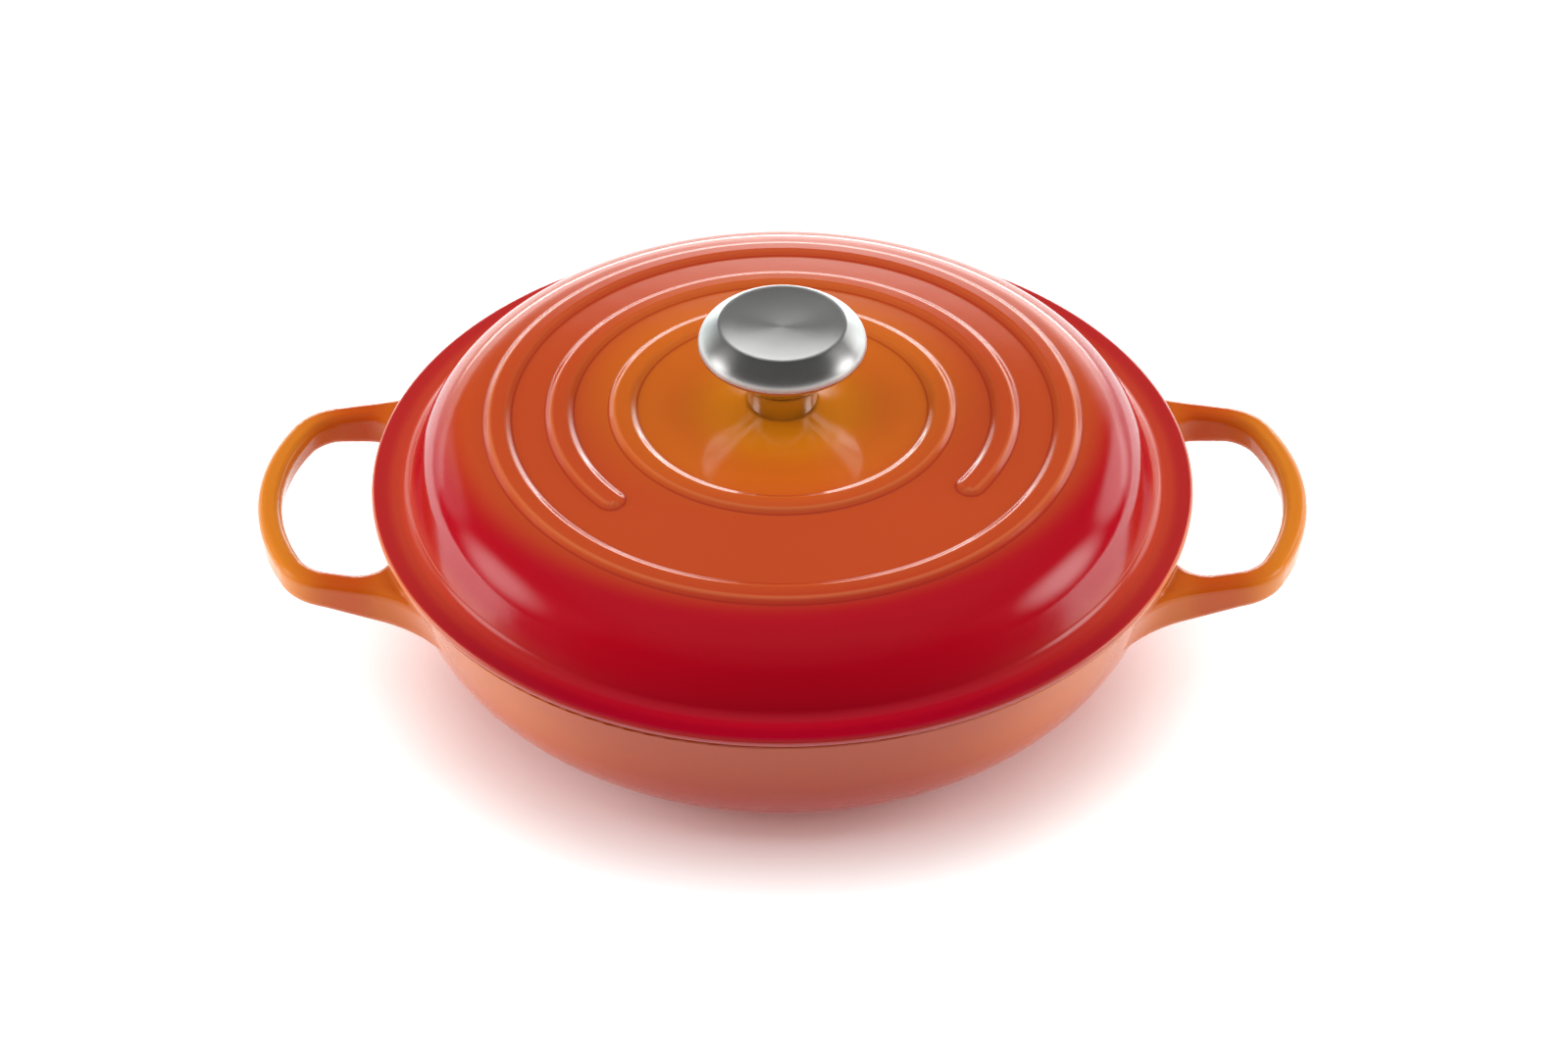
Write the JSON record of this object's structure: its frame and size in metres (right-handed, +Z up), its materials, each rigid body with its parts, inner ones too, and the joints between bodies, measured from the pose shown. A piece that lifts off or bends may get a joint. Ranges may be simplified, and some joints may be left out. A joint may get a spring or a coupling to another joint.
{
  "type": "braiser",
  "caption": "Wide shallow round casserole in enamelled cast iron with two loop handles and a domed lift-off lid with raised rings and a steel knob.",
  "frame": {"origin": "centre of the underside, on the plane that the foot ring stands on", "axes": "+Z up along the pan's axis, +X along the line through the two handles, -Y towards the opening in the lid's middle ring"},
  "size_m": [0.397, 0.31, 0.1457],
  "materials": {
    "pan_enamel": "gloss enamel",
    "lid_enamel": "gloss enamel",
    "knob_steel": "brushed",
    "insert_brass": "machined",
    "fastener_steel": "plain"
  },
  "bodies": {
    "pan": {"pan": "pan_enamel"},
    "lid": {"lid": "lid_enamel", "knob_neck": "knob_steel", "knob_cap": "knob_steel", "knob_insert": "insert_brass", "knob_screw": "fastener_steel", "screw_washer": "fastener_steel"}
  },
  "joints": [
    {"name": "lid_lift", "type": "slide", "parent": "pan", "child": "lid", "axis": [0, 0, 1], "range_m": [0, 0.1]}
  ]
}
